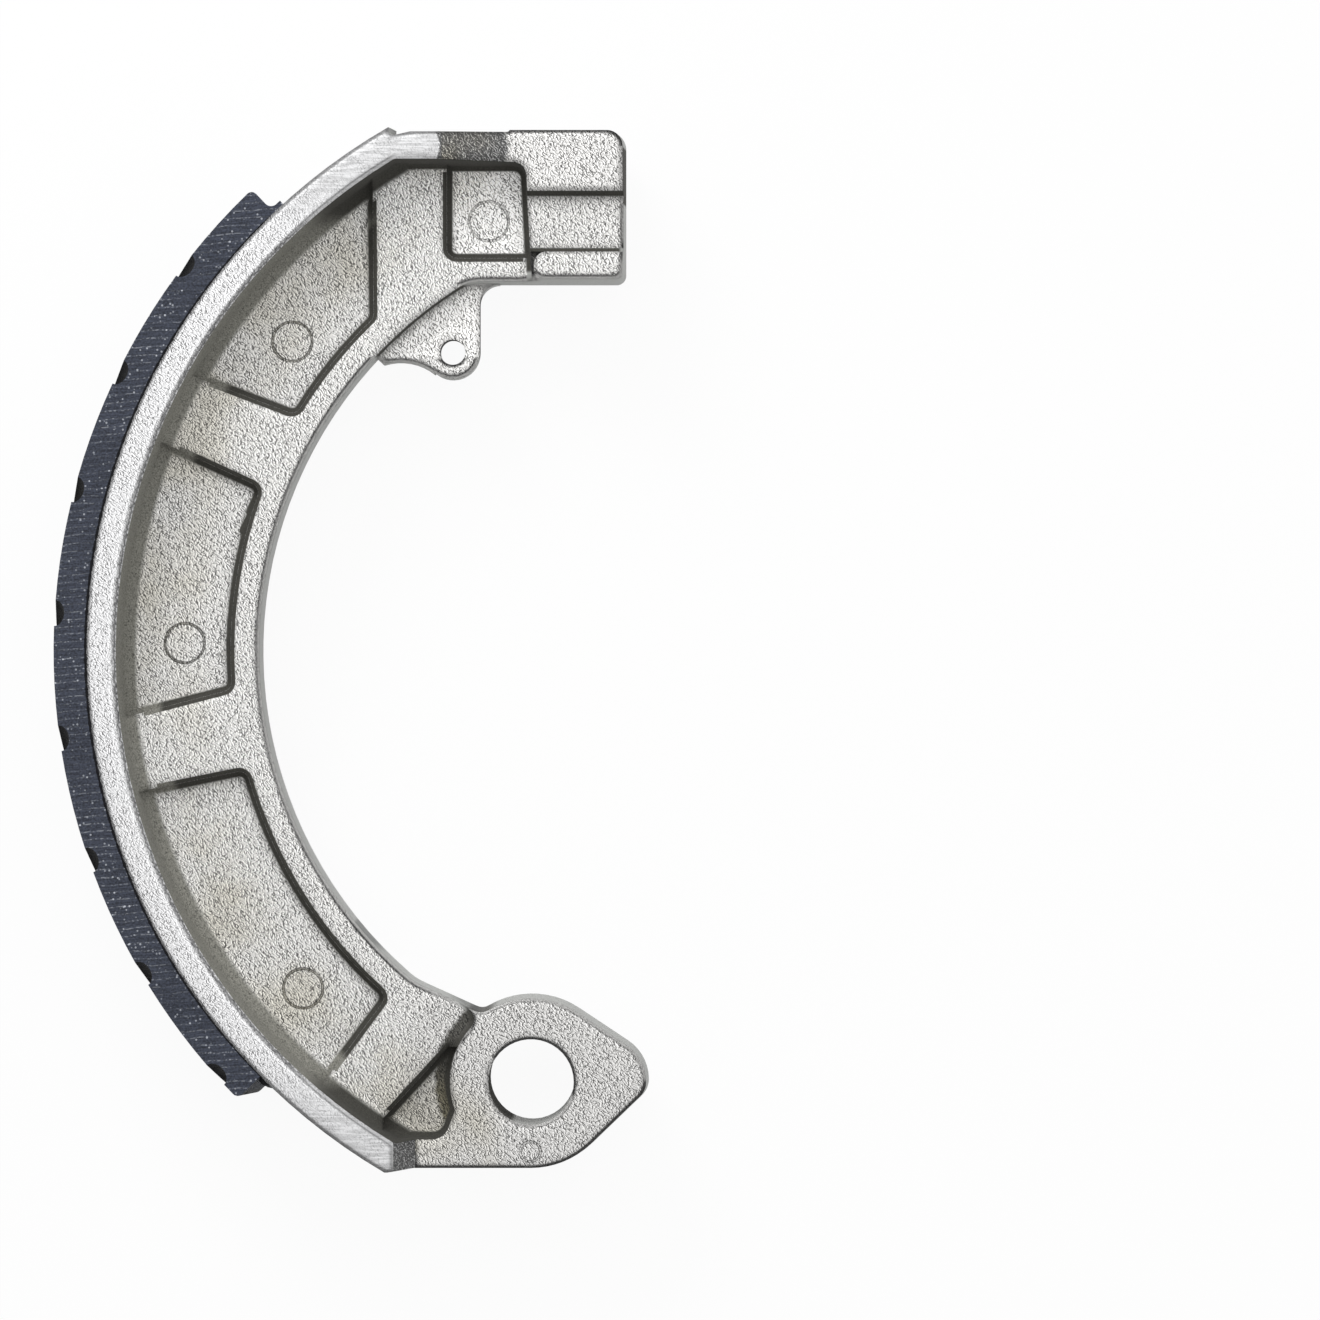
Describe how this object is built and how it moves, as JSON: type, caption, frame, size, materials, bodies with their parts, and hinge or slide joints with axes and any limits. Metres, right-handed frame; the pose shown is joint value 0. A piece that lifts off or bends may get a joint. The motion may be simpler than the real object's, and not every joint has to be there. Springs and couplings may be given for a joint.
{
  "type": "brake shoe",
  "caption": "Curved drum brake shoe with a webbed aluminium body, a bonded friction lining with slanted grooves, a pivot eye and a flat cam end.",
  "frame": {"origin": "centre of the pivot bore, at half the shoe's width", "axes": "+Z along the pivot bore and the drum axis, towards the side with the ejector marks; +X from the lining towards the drum axis; +Y from the pivot towards the cam end"},
  "size_m": [0.0935, 0.1653, 0.028],
  "materials": {
    "shoe_casting": "shot blasted, machined sides",
    "friction_lining": "ground, matte"
  },
  "bodies": {
    "root": {"shoe_casting": "shoe_casting", "friction_lining": "friction_lining"}
  },
  "joints": []
}
